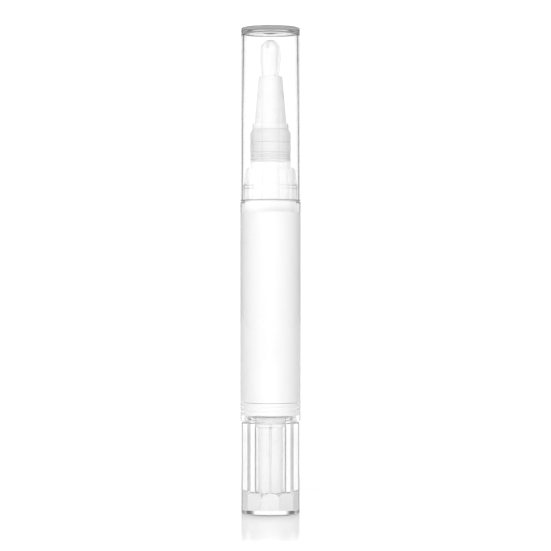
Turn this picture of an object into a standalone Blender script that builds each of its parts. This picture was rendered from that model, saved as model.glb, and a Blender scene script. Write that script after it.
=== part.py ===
"""Twist-up brush pen for nail polish, standing on its knob with its cap on.

Every length is in metres. The pen's axis is Z, and its foot stands at height 0. Turning the knob
turns the drive tube and the lead screw in it. The screw climbs through the fixed thread seat and
pushes the piston up, and the polish leaves through the feed tube and the brush.
"""

from math import cos, pi, sin, tau

import bmesh
import bpy
from mathutils import Matrix, Vector

# Clearances
FIT_GAP = 0.0001
RUNNING_GAP = 0.00015
SEAT_GAP = 0.0002
MERGE = 0.00001
SHARP_ANGLE = 0.6

# Facets round each kind of turned piece
SHELL_FACETS = 40
INNER_FACETS = 24
THREAD_FACETS = 16
RATCHET_FACETS = 36

# Knob: thick clear wall round an air space, with a cored foot. KNOB_STEP is how far it lies
# inside the barrel's wall
KNOB_STEP = 0.00035
KNOB_LENGTH = 0.0255
KNOB_EDGE = 0.00025
KNOB_NECK_LENGTH = 0.0017
KNOB_NECK_CLEARANCE = 0.0006
KNOB_AIR = 0.0007
KNOB_TO_BARREL = 0.0004

# Knob base: ten flats whose tops run out in a steep shoulder, as arches
BASE_FLATS = 10
BASE_SKIN = 0.00065
BASE_LIFT = 0.0003
BASE_SPRING_HEIGHT = 0.0049
BASE_ARCH_RISE = 0.001
BASE_ROOF_RISE = 0.0003
BASE_ROOF_INSET = 0.0007
BASE_SOCKET_DEPTH = 0.0022

# Drive tube: white stem with a collar pressed in the knob and a key for the screw at its top
DRIVE_RADIUS = 0.0035
DRIVE_BORE_RADIUS = 0.0027
DRIVE_COLLAR_LENGTH = 0.0029
DRIVE_KEY_LENGTH = 0.004
DRIVE_GROOVE_DEPTH = 0.00035
DRIVE_TOP_CLEARANCE = 0.0003

# Barrel: clear tube, closed by a roof that carries the neck
BARREL_RADIUS = 0.0085
BARREL_LENGTH = 0.0613
BARREL_WALL = 0.0009
BARREL_ROOF = 0.0029
BARREL_EDGE = 0.0004
BARREL_SKIRT = 0.0017
SHOULDER_EDGE = 0.00015
NECK_LENGTH = 0.0087
NECK_TAPER = 0.00061
NECK_SHOULDER_LENGTH = 0.001
NECK_BORE_RADIUS = 0.0046
BEAD_HEIGHT = 0.0038
BEAD_LENGTH = 0.0009
BEAD_RISE = 0.00007
BEAD_TOP_RISE = 0.00025
BEAD_FLANK = 0.00025
LIP_LENGTH = 0.0017
LIP_STEP = 0.00004

# Cap
CAP_STEP = 0.00003
CAP_DRAFT = 0.00025
CAP_WALL = 0.00069
CAP_TOP = 0.0015
CAP_ROUND = 0.0003
CAP_FILLET = 0.0008
CAP_HEADROOM = 0.0017
CAP_CLEARANCE = 0.00016
GATE_RADIUS = 0.00225
GATE_FLOOR_RADIUS = 0.0015
GATE_DEPTH = 0.00045

# Reservoir sleeve and piston
SLEEVE_WALL = 0.00055
SLEEVE_EDGE = 0.0003
PISTON_LENGTH = 0.0062
PISTON_LIP = 0.0009
PISTON_WAIST_DEPTH = 0.00055
PISTON_CROWN_RISE = 0.0005
PISTON_CROWN_RADIUS = 0.0018
PISTON_BOSS_RADIUS = 0.0037
PISTON_SKIRT_WALL = 0.0008
PISTON_HOLLOW_DEPTH = 0.0038
PISTON_SNAP_LIP = 0.0008
PISTON_TO_SEAT = 0.0003

# Thread: one start, right hand
LEAD = 0.003
THREAD_CREST_RADIUS = 0.0023
THREAD_ROOT_RADIUS = 0.00175
FLAT_DISTANCE = 0.00163
THREAD_KNOT_SHARES = (0, 0.35, 0.5, 0.85)
SCREW_FOOT_CLEARANCE = 0.0008
SCREW_NECK_RADIUS = 0.0016
SCREW_NECK_LENGTH = 0.0014
SCREW_HEAD_RADIUS = 0.00235
SCREW_HEAD_LENGTH = 0.0013
SCREW_SNAP_CLEARANCE = 0.00025

# Thread seat
SEAT_WEB = 0.0037
SEAT_SKIRT_WALL = 0.00085

# End plug and the clicks inside it
PLUG_FLANGE_LENGTH = 0.0035
PLUG_WALL = 0.0006
PLUG_ROOF = 0.0006
PLUG_SPIGOT_LENGTH = 0.0037
PLUG_TO_SLEEVE = 0.0001
RATCHET_TEETH = 12
RATCHET_RIM = 0.0004
RATCHET_TOOTH_DEPTH = 0.00043
RATCHET_LENGTH = 0.0024
RATCHET_LIFT = 0.0003
PAWL_LOBES = 2
PAWL_HUB_WALL = 0.0005
PAWL_TIP_CLEARANCE = 0.0002
PAWL_INSET = 0.0002
PAWL_REST_SHARE = 0.75
RING_LENGTH = 0.001
RING_WALL = 0.0011
RING_MOUTH = 0.0042

# Nozzle collar
COLLAR_RADIUS = 0.00572
COLLAR_LENGTH = 0.0088
COLLAR_CHAMFER_LENGTH = 0.0011
COLLAR_CHAMFER = 0.00057
COLLAR_RIB_DEPTH = 0.00012
COLLAR_RIB_HALF = 0.0002
COLLAR_RIB_HEIGHTS = (0.0052, 0.0024, 0.0012)
COLLAR_SPIGOT_LENGTH = 0.0146
SEAL_THICKNESS = 0.0005
SEAL_FACETS = 8
SEAL_HEIGHT = 0.01
SEAL_GROOVE_LENGTH = 0.0009

# Feed tube
FEED_RADIUS = 0.00085
FEED_BORE_RADIUS = 0.00045
FEED_DIP = 0.0001

# Brush holder
FLANGE_RADIUS = 0.00509
FLANGE_LENGTH = 0.0015
FLANGE_EDGE = 0.0002
CONE_BASE_RADIUS = 0.00449
CONE_TOP_RADIUS = 0.00331
CONE_LENGTH = 0.0133
CONE_EDGE = 0.00012
HOLDER_SPIGOT_RADIUS = 0.0035
HOLDER_SPIGOT_LENGTH = 0.0085
SOCKET_RADIUS = 0.00265
SOCKET_DEPTH = 0.0045

# Brush tuft: three-sided bristles on a lattice of rings, fused to a root slice
TUFT_SIDES = 5
TUFT_RINGS = 8
TUFT_ROOT_LENGTH = 0.004
TUFT_ROOT_CLEARANCE = 0.00015
TUFT_LENGTH = 0.0104
TUFT_DOME = 0.0016
TUFT_SWELL_HEIGHT = 0.0027
TUFT_SWELL_RADIUS = 0.00285
TUFT_BELLY_HEIGHT = 0.0062
TUFT_BELLY_RADIUS = 0.00298
TUFT_TIP_RADIUS = 0.00245
BRISTLE_GAP = 0.00003
BRISTLE_TIP_SHARE = 0.55

# Radii that one piece takes from the piece it fits
barrel_bore = BARREL_RADIUS - BARREL_WALL
sleeve_radius = barrel_bore - FIT_GAP
sleeve_bore = sleeve_radius - SLEEVE_WALL
piston_radius = sleeve_bore - FIT_GAP
knob_radius = BARREL_RADIUS - KNOB_STEP
knob_bore = DRIVE_RADIUS + KNOB_AIR
knob_neck_radius = barrel_bore - KNOB_NECK_CLEARANCE
recess_corner_radius = knob_radius - BASE_SKIN
base_corner_radius = recess_corner_radius - FIT_GAP
base_socket_radius = DRIVE_RADIUS + FIT_GAP
cap_rim_radius = BARREL_RADIUS - CAP_STEP
cap_bore = cap_rim_radius - CAP_WALL
bead_radius = cap_bore - CAP_CLEARANCE
neck_radius = bead_radius - BEAD_RISE
neck_top_radius = neck_radius - NECK_TAPER
lip_radius = COLLAR_RADIUS - LIP_STEP
collar_bore = HOLDER_SPIGOT_RADIUS + FIT_GAP
collar_spigot_radius = NECK_BORE_RADIUS - FIT_GAP
seal_radius = NECK_BORE_RADIUS - FIT_GAP / 2 - SEAL_THICKNESS / 2
seal_groove_radius = seal_radius - SEAL_THICKNESS / 2 - FIT_GAP / 2
feed_hole_radius = FEED_RADIUS + FIT_GAP
plug_bore = DRIVE_RADIUS + RUNNING_GAP
plug_inner_radius = sleeve_radius - PLUG_WALL
plug_spigot_radius = sleeve_bore - FIT_GAP
ratchet_radius = plug_inner_radius - FIT_GAP
ratchet_root_radius = ratchet_radius - RATCHET_RIM
ratchet_tip_radius = ratchet_root_radius - RATCHET_TOOTH_DEPTH
pawl_bore = DRIVE_RADIUS + FIT_GAP
pawl_tip_radius = ratchet_tip_radius - PAWL_TIP_CLEARANCE
pawl_hub_radius = pawl_bore + PAWL_HUB_WALL
seat_skirt_bore = sleeve_bore - FIT_GAP - SEAT_SKIRT_WALL
groove_radius = DRIVE_RADIUS - DRIVE_GROOVE_DEPTH
ring_bore = groove_radius + FIT_GAP
ring_radius = ring_bore + RING_WALL
tuft_root_radius = SOCKET_RADIUS - TUFT_ROOT_CLEARANCE

# Heights up the pen, from the foot
base_apex = BASE_SPRING_HEIGHT + BASE_ARCH_RISE
base_roof = base_apex + BASE_ROOF_RISE
socket_floor = base_roof - BASE_SOCKET_DEPTH
drive_foot = socket_floor + SEAT_GAP
knob_top = KNOB_LENGTH + KNOB_NECK_LENGTH
barrel_foot = KNOB_LENGTH + KNOB_TO_BARREL
barrel_shoulder = barrel_foot + BARREL_LENGTH
barrel_roof = barrel_shoulder - BARREL_ROOF
neck_end = barrel_shoulder + NECK_LENGTH
lip_foot = neck_end + NECK_SHOULDER_LENGTH
lip_top = lip_foot + LIP_LENGTH
plug_foot = barrel_foot + BARREL_SKIRT
plug_shelf = plug_foot + PLUG_FLANGE_LENGTH
plug_ceiling = plug_shelf - PLUG_ROOF
plug_top = plug_shelf + PLUG_SPIGOT_LENGTH
sleeve_foot = plug_shelf + PLUG_TO_SLEEVE
sleeve_top = barrel_roof - SEAT_GAP
ring_foot = plug_top + SEAT_GAP
ring_top = ring_foot + RING_LENGTH
drive_top = ring_top + DRIVE_KEY_LENGTH
seat_foot = plug_top + SEAT_GAP
web_foot = drive_top + DRIVE_TOP_CLEARANCE
web_top = web_foot + SEAT_WEB
piston_foot = web_top + PISTON_TO_SEAT
piston_top = piston_foot + PISTON_LENGTH
snap_floor = piston_foot + PISTON_SNAP_LIP
head_foot = snap_floor + SEAT_GAP
head_top = head_foot + SCREW_HEAD_LENGTH
screw_foot = socket_floor + SCREW_FOOT_CLEARANCE
thread_top = head_foot - SCREW_NECK_LENGTH
collar_foot = lip_top + FIT_GAP
collar_top = collar_foot + COLLAR_LENGTH
collar_spigot_foot = collar_foot - COLLAR_SPIGOT_LENGTH
seal_height = collar_spigot_foot + SEAL_HEIGHT
flange_foot = collar_top + FIT_GAP
flange_top = flange_foot + FLANGE_LENGTH
cone_top = flange_top + CONE_LENGTH
socket_foot = cone_top - SOCKET_DEPTH
holder_foot = flange_foot - HOLDER_SPIGOT_LENGTH
feed_foot = collar_spigot_foot - FEED_DIP
feed_top = socket_foot - FIT_GAP
root_foot = socket_foot + FIT_GAP
root_top = root_foot + TUFT_ROOT_LENGTH
tuft_top = cone_top + TUFT_LENGTH
cap_rim = barrel_shoulder + RUNNING_GAP
cap_ceiling = tuft_top + CAP_HEADROOM
cap_top = cap_ceiling + CAP_TOP

for old in list(bpy.data.objects):
    bpy.data.objects.remove(old)

pen = bpy.data.collections.new("nail_art_pen")
cutters = bpy.data.collections.new("cutters")
bpy.context.scene.collection.children.link(pen)
bpy.context.scene.collection.children.link(cutters)


def group(name, height):
    """An empty on the axis, which carries the pieces that move together."""
    empty = bpy.data.objects.new(name, None)
    empty.location = (0, 0, height)
    pen.objects.link(empty)
    return empty


barrel_group = group("barrel_group", barrel_foot)
cap_group = group("cap_group", cap_rim)
knob_group = group("knob_group", 0)
screw_group = group("screw_group", screw_foot)
piston_group = group("piston_group", piston_foot)


def plastic(name, colour, roughness, clear=0.0, metallic=0.0):
    """A finish for one piece. clear is how much light goes through it."""
    finish = bpy.data.materials.new(name)
    finish.use_nodes = True
    shader = finish.node_tree.nodes["Principled BSDF"]
    shader.inputs["Base Color"].default_value = (*colour, 1)
    shader.inputs["Roughness"].default_value = roughness
    shader.inputs["Metallic"].default_value = metallic
    shader.inputs["Transmission Weight"].default_value = clear
    finish.diffuse_color = (*colour, 1)
    return finish


def add_piece(piece, carrier, foot, finish):
    """Settles a piece's modifiers, gives it its finish and sets its origin on the axis at its foot."""
    graph = bpy.context.evaluated_depsgraph_get()
    settled = bpy.data.meshes.new_from_object(piece.evaluated_get(graph))
    piece.modifiers.clear()
    piece.data = settled
    settled.name = piece.name
    settled.transform(Matrix.Translation((0, 0, -foot)))
    settled.materials.clear()
    settled.materials.append(finish)
    settled.shade_smooth()
    settled.set_sharp_from_angle(angle=SHARP_ANGLE)
    piece.parent = carrier
    piece.location = (0, 0, foot - carrier.location.z)
    return piece


def new_piece(name, mesh):
    """Puts a mesh in the pen's collection under a piece's name."""
    piece = bpy.data.objects.new(name, mesh)
    pen.objects.link(piece)
    return piece


def turned(name, outline, facets):
    """Turns an outline of (radius, height) points. It runs down the outer side and up the inner one."""
    count = len(outline)
    edges = [(point, point + 1) for point in range(count - 1)]
    if outline[0][0] > 0:
        edges.append((count - 1, 0))
    mesh = bpy.data.meshes.new(name)
    mesh.from_pydata([(radius, 0, height) for radius, height in outline], edges, [])
    piece = new_piece(name, mesh)
    turn = piece.modifiers.new("Turn", "SCREW")
    turn.steps = facets
    turn.render_steps = facets
    turn.use_merge_vertices = True
    turn.merge_threshold = MERGE
    return piece


def lofted(name, outline_at, facets, closed):
    """Skins the outlines that outline_at(angle) gives, for sections that change round the axis."""
    mesh_builder = bmesh.new()
    columns = []
    for facet in range(facets + 1):
        angle = tau * facet / facets
        around = Vector((cos(angle), sin(angle), 0))
        points = [around * radius + Vector((0, 0, height)) for radius, height in outline_at(angle)]
        columns.append([mesh_builder.verts.new(point) for point in points])
    for left, right in zip(columns, columns[1:]):
        last = len(left) if closed else len(left) - 1
        for point in range(last):
            after = (point + 1) % len(left)
            mesh_builder.faces.new((left[point], left[after], right[after], right[point]))
    bmesh.ops.remove_doubles(mesh_builder, verts=mesh_builder.verts, dist=MERGE)
    mesh = bpy.data.meshes.new(name)
    mesh_builder.to_mesh(mesh)
    mesh_builder.free()
    return new_piece(name, mesh)


def cap():
    """Clear cap: drafted wall, thick top with a rounded edge, and a gate dimple in its ceiling."""
    top_radius = cap_rim_radius - CAP_DRAFT
    inner_top = cap_bore - CAP_DRAFT
    diagonal = 1 - cos(pi / 4)
    outline = [
        (0, cap_top),
        (top_radius - CAP_ROUND, cap_top),
        (top_radius - CAP_ROUND * diagonal, cap_top - CAP_ROUND * diagonal),
        (top_radius, cap_top - CAP_ROUND),
        (cap_rim_radius, cap_rim),
        (cap_bore, cap_rim),
        (inner_top, cap_ceiling - CAP_FILLET),
        (inner_top - CAP_FILLET * diagonal, cap_ceiling - CAP_FILLET * diagonal),
        (inner_top - CAP_FILLET, cap_ceiling),
        (GATE_RADIUS, cap_ceiling),
        (GATE_FLOOR_RADIUS, cap_ceiling + GATE_DEPTH),
        (0, cap_ceiling + GATE_DEPTH),
    ]
    finish = plastic("clear_cap", (0.97, 0.97, 0.97), 0.03, clear=1.0)
    add_piece(turned("cap", outline, SHELL_FACETS), cap_group, cap_rim, finish)


def barrel():
    """Clear barrel in one piece with its roof, neck, grip bead and lip."""
    bead_foot = barrel_shoulder + BEAD_HEIGHT
    bead_top = bead_foot + BEAD_LENGTH
    diagonal = 1 - cos(pi / 4)
    shoulder_step = neck_top_radius - lip_radius
    outline = [
        (lip_radius, lip_top),
        (lip_radius, lip_foot),
        (neck_top_radius - shoulder_step * diagonal, lip_foot - NECK_SHOULDER_LENGTH * diagonal),
        (neck_top_radius, neck_end),
        (bead_radius - BEAD_TOP_RISE, bead_top + BEAD_FLANK),
        (bead_radius, bead_top),
        (bead_radius, bead_foot),
        (neck_radius, bead_foot - BEAD_FLANK),
        (neck_radius, barrel_shoulder),
        (BARREL_RADIUS - SHOULDER_EDGE, barrel_shoulder),
        (BARREL_RADIUS, barrel_shoulder - SHOULDER_EDGE),
        (BARREL_RADIUS, barrel_foot + BARREL_EDGE),
        (BARREL_RADIUS - BARREL_EDGE, barrel_foot),
        (barrel_bore, barrel_foot),
        (barrel_bore, barrel_roof),
        (NECK_BORE_RADIUS, barrel_roof),
        (NECK_BORE_RADIUS, lip_top),
    ]
    finish = plastic("clear_barrel", (0.97, 0.97, 0.97), 0.03, clear=1.0)
    add_piece(turned("barrel", outline, SHELL_FACETS), barrel_group, barrel_foot, finish)


def reservoir_sleeve():
    """White sleeve that lines the barrel from the end plug to the roof."""
    outline = [
        (sleeve_radius - SLEEVE_EDGE, sleeve_top),
        (sleeve_radius, sleeve_top - SLEEVE_EDGE),
        (sleeve_radius, sleeve_foot),
        (sleeve_bore, sleeve_foot),
        (sleeve_bore, sleeve_top),
    ]
    finish = plastic("white_sleeve", (0.92, 0.92, 0.92), 0.25)
    add_piece(turned("reservoir_sleeve", outline, SHELL_FACETS), barrel_group, sleeve_foot, finish)


def nozzle_collar():
    """Translucent collar with fine ring grooves, and a spigot with a seal groove down in the neck."""
    outline = [(COLLAR_RADIUS - COLLAR_CHAMFER, collar_top), (COLLAR_RADIUS, collar_top - COLLAR_CHAMFER_LENGTH)]
    for rib in COLLAR_RIB_HEIGHTS:
        middle = collar_foot + rib
        outline.append((COLLAR_RADIUS, middle + COLLAR_RIB_HALF))
        outline.append((COLLAR_RADIUS - COLLAR_RIB_DEPTH, middle))
        outline.append((COLLAR_RADIUS, middle - COLLAR_RIB_HALF))
    groove_half = SEAL_GROOVE_LENGTH / 2
    passage_top = holder_foot - SEAT_GAP
    outline += [
        (COLLAR_RADIUS, collar_foot),
        (collar_spigot_radius, collar_foot),
        (collar_spigot_radius, seal_height + groove_half),
        (seal_groove_radius, seal_height + groove_half),
        (seal_groove_radius, seal_height - groove_half),
        (collar_spigot_radius, seal_height - groove_half),
        (collar_spigot_radius, collar_spigot_foot),
        (feed_hole_radius, collar_spigot_foot),
        (feed_hole_radius, passage_top),
        (collar_bore, passage_top),
        (collar_bore, collar_top),
    ]
    finish = plastic("translucent_collar", (0.9, 0.9, 0.9), 0.35, clear=0.4)
    piece = turned("nozzle_collar", outline, INNER_FACETS)
    add_piece(piece, barrel_group, collar_spigot_foot, finish)


def neck_seal():
    """O-ring in the collar's groove."""
    radius = SEAL_THICKNESS / 2
    outline = []
    for facet in range(SEAL_FACETS):
        angle = -tau * facet / SEAL_FACETS
        outline.append((seal_radius + radius * cos(angle), seal_height + radius * sin(angle)))
    finish = plastic("seal_rubber", (0.85, 0.85, 0.84), 0.6)
    piece = turned("neck_seal", outline, INNER_FACETS)
    add_piece(piece, barrel_group, seal_height - radius, finish)


def feed_tube():
    """Thin tube from the top of the reservoir to the root of the tuft."""
    outline = [
        (FEED_RADIUS, feed_top),
        (FEED_RADIUS, feed_foot),
        (FEED_BORE_RADIUS, feed_foot),
        (FEED_BORE_RADIUS, feed_top),
    ]
    finish = plastic("feed_tube_white", (0.88, 0.88, 0.88), 0.3)
    add_piece(turned("feed_tube", outline, THREAD_FACETS), barrel_group, feed_foot, finish)


def brush_holder():
    """White cone with a flange, a spigot in the collar and a socket for the tuft."""
    outline = [
        (CONE_TOP_RADIUS - CONE_EDGE, cone_top),
        (CONE_TOP_RADIUS, cone_top - CONE_EDGE),
        (CONE_BASE_RADIUS, flange_top),
        (FLANGE_RADIUS - FLANGE_EDGE, flange_top),
        (FLANGE_RADIUS, flange_top - FLANGE_EDGE),
        (FLANGE_RADIUS, flange_foot),
        (HOLDER_SPIGOT_RADIUS, flange_foot),
        (HOLDER_SPIGOT_RADIUS, holder_foot),
        (feed_hole_radius, holder_foot),
        (feed_hole_radius, socket_foot),
        (SOCKET_RADIUS, socket_foot),
        (SOCKET_RADIUS, cone_top),
    ]
    finish = plastic("white_holder", (0.93, 0.93, 0.93), 0.3)
    add_piece(turned("brush_holder", outline, INNER_FACETS), barrel_group, holder_foot, finish)


def lattice_faces(mesh_builder):
    """A flat disc of triangles in rings, nearly alike in size, at the top of the tuft's root."""
    rings = [[mesh_builder.verts.new((0, 0, root_top))]]
    for ring in range(1, TUFT_RINGS + 1):
        radius = tuft_root_radius * ring / TUFT_RINGS
        count = TUFT_SIDES * ring
        angles = [tau * place / count for place in range(count)]
        rings.append([mesh_builder.verts.new((radius * cos(a), radius * sin(a), root_top)) for a in angles])
    faces = []
    for ring in range(1, TUFT_RINGS + 1):
        inner = rings[ring - 1]
        outer = rings[ring]
        for side in range(TUFT_SIDES):
            for step in range(ring):
                here = outer[side * ring + step]
                following = outer[(side * ring + step + 1) % len(outer)]
                below = inner[(side * (ring - 1) + step) % len(inner)]
                faces.append(mesh_builder.faces.new((here, following, below)))
                if step < ring - 1:
                    beside = inner[(side * (ring - 1) + step + 1) % len(inner)]
                    faces.append(mesh_builder.faces.new((following, beside, below)))
    return faces


def raise_bristles(mesh_builder, faces, height_at, spread, taper_share):
    """Extrudes each bristle one length, from its own face to a new height, spread from the axis."""
    ends = bmesh.ops.extrude_discrete_faces(mesh_builder, faces=faces)["faces"]
    for end in ends:
        middle = end.calc_center_median()
        new_middle = Vector((middle.x * spread, middle.y * spread, height_at(middle.xy.length * spread)))
        for corner in end.verts:
            corner.co = new_middle + (corner.co - middle) * (spread * taper_share)
    return ends


def brush_tuft():
    """White bristles that swell to a belly and end in a dome, on the round slice that holds them."""
    mesh_builder = bmesh.new()
    top_faces = lattice_faces(mesh_builder)
    rim = [edge for edge in mesh_builder.edges if edge.is_boundary]
    skirt = bmesh.ops.extrude_edge_only(mesh_builder, edges=rim)["geom"]
    lower = [item for item in skirt if isinstance(item, bmesh.types.BMVert)]
    bmesh.ops.translate(mesh_builder, verts=lower, vec=(0, 0, root_foot - root_top))
    open_rim = [item for item in skirt if isinstance(item, bmesh.types.BMEdge) and item.is_boundary]
    bmesh.ops.edgeloop_fill(mesh_builder, edges=open_rim)
    bmesh.ops.inset_individual(mesh_builder, faces=top_faces, thickness=BRISTLE_GAP)

    swell_height = cone_top + TUFT_SWELL_HEIGHT
    swell = TUFT_SWELL_RADIUS / tuft_root_radius
    belly_height = cone_top + TUFT_BELLY_HEIGHT
    belly = TUFT_BELLY_RADIUS / TUFT_SWELL_RADIUS
    tip = TUFT_TIP_RADIUS / TUFT_BELLY_RADIUS
    faces = raise_bristles(mesh_builder, top_faces, lambda radius: swell_height, swell, 1)
    faces = raise_bristles(mesh_builder, faces, lambda radius: belly_height, belly, 1)
    raise_bristles(
        mesh_builder,
        faces,
        lambda radius: tuft_top - TUFT_DOME * (radius / TUFT_TIP_RADIUS) ** 2,
        tip,
        BRISTLE_TIP_SHARE,
    )
    bmesh.ops.recalc_face_normals(mesh_builder, faces=mesh_builder.faces)
    mesh = bpy.data.meshes.new("brush_tuft")
    mesh_builder.to_mesh(mesh)
    mesh_builder.free()
    finish = plastic("white_bristle", (0.95, 0.95, 0.95), 0.5)
    add_piece(new_piece("brush_tuft", mesh), barrel_group, root_foot, finish)


def piston():
    """Piston with two sealing lips, a hollow underside and a snap socket for the screw's head."""
    waist_radius = piston_radius - PISTON_WAIST_DEPTH
    socket_radius = SCREW_HEAD_RADIUS + RUNNING_GAP
    mouth_radius = SCREW_NECK_RADIUS + SCREW_SNAP_CLEARANCE
    hollow_radius = waist_radius - PISTON_SKIRT_WALL
    upper_lip = piston_top - PISTON_CROWN_RISE
    outline = [
        (0, piston_top),
        (PISTON_CROWN_RADIUS, piston_top),
        (piston_radius, upper_lip),
        (piston_radius, upper_lip - PISTON_LIP),
        (waist_radius, upper_lip - PISTON_LIP - PISTON_WAIST_DEPTH),
        (waist_radius, piston_foot + PISTON_LIP + PISTON_WAIST_DEPTH),
        (piston_radius, piston_foot + PISTON_LIP),
        (piston_radius, piston_foot),
        (hollow_radius, piston_foot),
        (hollow_radius, piston_foot + PISTON_HOLLOW_DEPTH),
        (PISTON_BOSS_RADIUS, piston_foot + PISTON_HOLLOW_DEPTH),
        (PISTON_BOSS_RADIUS, piston_foot),
        (mouth_radius, piston_foot),
        (mouth_radius, snap_floor),
        (socket_radius, snap_floor),
        (socket_radius, head_top + SEAT_GAP),
        (0, head_top + SEAT_GAP),
    ]
    finish = plastic("piston_white", (0.86, 0.86, 0.85), 0.4)
    add_piece(turned("piston", outline, INNER_FACETS), piston_group, piston_foot, finish)


def thread_radius(share):
    """The screw's radius at a knot of its thread: two knots at the root, then two at the crest."""
    return THREAD_ROOT_RADIUS if share in THREAD_KNOT_SHARES[:2] else THREAD_CREST_RADIUS


def radius_between_knots(turns):
    """The screw's radius at any height, in turns of the thread, along its flanks too."""
    share = turns % 1
    knots = [(knot, thread_radius(knot)) for knot in THREAD_KNOT_SHARES]
    knots.append((1, THREAD_ROOT_RADIUS))
    for (low, low_radius), (high, high_radius) in zip(knots, knots[1:]):
        if share <= high:
            return low_radius + (high_radius - low_radius) * (share - low) / (high - low)


def thread_outline(angle, foot, top):
    """The thread's points from foot to top at one angle. They lie on its knots, along the helix."""
    turned_share = angle / tau
    first = int((foot - web_foot) // LEAD) - 1
    last = int((top - web_foot) // LEAD) + 1
    points = []
    for turn in range(first, last + 1):
        for knot in THREAD_KNOT_SHARES:
            height = web_foot + LEAD * (turn + knot + turned_share)
            clamped = min(max(height, foot), top)
            inside = foot < height < top
            turns = (clamped - web_foot) / LEAD - turned_share
            points.append((thread_radius(knot) if inside else radius_between_knots(turns), clamped))
    return points


def to_flats(radius, angle, distance):
    """A radius cut back to the two flats that face +X and -X."""
    across = abs(cos(angle))
    return min(radius, distance / across) if across > 0.5 else radius


def lead_screw():
    """Threaded rod with two flats along it and a round head that turns in the piston."""

    def outline_at(angle):
        thread = [
            (to_flats(radius, angle, FLAT_DISTANCE), height)
            for radius, height in thread_outline(angle, screw_foot, thread_top)
        ]
        head = [
            (0, head_top),
            (SCREW_NECK_RADIUS, head_top),
            (SCREW_HEAD_RADIUS, head_foot + SCREW_HEAD_LENGTH / 2),
            (SCREW_HEAD_RADIUS, head_foot),
            (SCREW_NECK_RADIUS, head_foot),
            (SCREW_NECK_RADIUS, thread_top),
        ]
        return head + thread[::-1] + [(0, screw_foot)]

    finish = plastic("screw_white", (0.85, 0.85, 0.85), 0.35)
    piece = lofted("lead_screw", outline_at, THREAD_FACETS, closed=False)
    add_piece(piece, screw_group, screw_foot, finish)


def thread_seat():
    """Fixed nut: a web with the inner thread, on a skirt that stands on the end plug."""
    radius = sleeve_bore - FIT_GAP

    def outline_at(angle):
        thread = [
            (thread_wall + RUNNING_GAP, height)
            for thread_wall, height in thread_outline(angle, web_foot, web_top)
        ]
        outer = [
            (radius, web_top),
            (radius, seat_foot),
            (seat_skirt_bore, seat_foot),
            (seat_skirt_bore, web_foot),
        ]
        return outer + thread

    finish = plastic("seat_white", (0.84, 0.84, 0.83), 0.4)
    piece = lofted("thread_seat", outline_at, INNER_FACETS, closed=True)
    add_piece(piece, barrel_group, seat_foot, finish)


def drive_tube():
    """White stem that the knob turns: pressed collar, clip groove, and flats that key the screw."""
    collar_radius = knob_bore - FIT_GAP
    key_foot = drive_top - DRIVE_KEY_LENGTH

    def outline_at(angle):
        key_round = THREAD_CREST_RADIUS + RUNNING_GAP
        key = to_flats(key_round, angle, FLAT_DISTANCE + RUNNING_GAP)
        return [
            (DRIVE_RADIUS, drive_top),
            (DRIVE_RADIUS, ring_top + FIT_GAP / 2),
            (groove_radius, ring_top + FIT_GAP / 2),
            (groove_radius, ring_foot - FIT_GAP / 2),
            (DRIVE_RADIUS, ring_foot - FIT_GAP / 2),
            (DRIVE_RADIUS, knob_top),
            (collar_radius, knob_top),
            (collar_radius, knob_top - DRIVE_COLLAR_LENGTH),
            (DRIVE_RADIUS, knob_top - DRIVE_COLLAR_LENGTH),
            (DRIVE_RADIUS, drive_foot),
            (DRIVE_BORE_RADIUS, drive_foot),
            (DRIVE_BORE_RADIUS, key_foot),
            (key, key_foot),
            (key, drive_top),
        ]

    finish = plastic("drive_white", (0.93, 0.93, 0.93), 0.3)
    piece = lofted("drive_tube", outline_at, INNER_FACETS, closed=True)
    add_piece(piece, knob_group, drive_foot, finish)


def retaining_ring():
    """Split ring clipped in the drive tube's groove, above the end plug."""
    outline = [
        (ring_radius, ring_top),
        (ring_radius, ring_foot),
        (ring_bore, ring_foot),
        (ring_bore, ring_top),
    ]
    piece = turned("retaining_ring", outline, INNER_FACETS)
    reach = 2 * ring_radius
    slot = bmesh.new()
    bmesh.ops.create_cube(slot, size=1)
    bmesh.ops.scale(slot, verts=slot.verts, vec=(reach, RING_MOUTH, 2 * RING_LENGTH))
    bmesh.ops.translate(slot, verts=slot.verts, vec=(reach / 2, 0, (ring_foot + ring_top) / 2))
    mesh = bpy.data.meshes.new("ring_mouth")
    slot.to_mesh(mesh)
    slot.free()
    cutter = bpy.data.objects.new("ring_mouth", mesh)
    cutter.hide_render = True
    cutter.display_type = "WIRE"
    cutters.objects.link(cutter)
    cut = piece.modifiers.new("Mouth", "BOOLEAN")
    cut.operation = "DIFFERENCE"
    cut.object = cutter
    finish = plastic("clip_steel", (0.7, 0.7, 0.72), 0.3, metallic=1.0)
    add_piece(piece, knob_group, ring_foot, finish)


def end_plug():
    """Translucent plug in the barrel's lower end, hollow from below, with a spigot in the sleeve."""
    outline = [
        (plug_spigot_radius, plug_top),
        (plug_spigot_radius, plug_shelf),
        (sleeve_radius, plug_shelf),
        (sleeve_radius, plug_foot),
        (plug_inner_radius, plug_foot),
        (plug_inner_radius, plug_ceiling),
        (plug_bore, plug_ceiling),
        (plug_bore, plug_top),
    ]
    finish = plastic("translucent_plug", (0.92, 0.92, 0.92), 0.3, clear=0.4)
    add_piece(turned("end_plug", outline, SHELL_FACETS), barrel_group, plug_foot, finish)


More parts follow.
